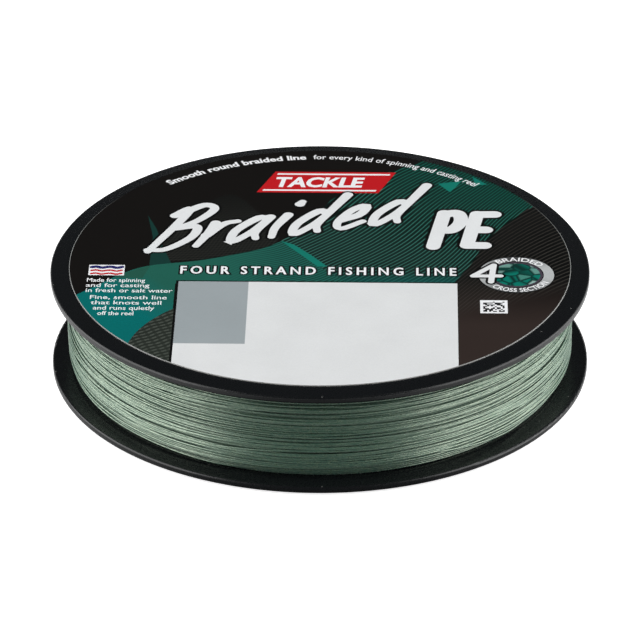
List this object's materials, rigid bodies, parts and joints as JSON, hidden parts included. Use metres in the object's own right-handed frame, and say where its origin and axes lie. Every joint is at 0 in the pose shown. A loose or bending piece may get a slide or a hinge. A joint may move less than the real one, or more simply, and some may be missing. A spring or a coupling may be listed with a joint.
{
  "type": "fishing line spool",
  "caption": "Flat flanged filler spool wound with braided line, with printed label discs, a blind centre bore and a line slit in its rear rim.",
  "frame": {"origin": "centre of the ring that the back half rests on, on the spool's axis", "axes": "+Z along the spool's axis from the back half to the front label; -Y towards the viewer who reads the front label upright; the line slit is at +Y"},
  "size_m": [0.1, 0.1, 0.0206],
  "materials": {
    "flange_plastic": "satin-gloss moulded black polystyrene",
    "printed_film": "printed and laminated polypropylene film",
    "back_film": "printed matt polypropylene film",
    "braided_line": "tightly braided polyethylene fibre, slightly waxy",
    "paper_tape": "creped paper tape"
  },
  "bodies": {
    "back_half": {"back_flange": "flange_plastic", "back_label": "back_film", "wound_line": "braided_line", "start_tape": "paper_tape"},
    "front_half": {"front_flange": "flange_plastic", "front_label": "printed_film"}
  },
  "joints": [
    {"name": "front_half_pull", "type": "slide", "parent": "back_half", "child": "front_half", "axis": [0, 0, 1], "range_m": [0, 0.025]}
  ]
}
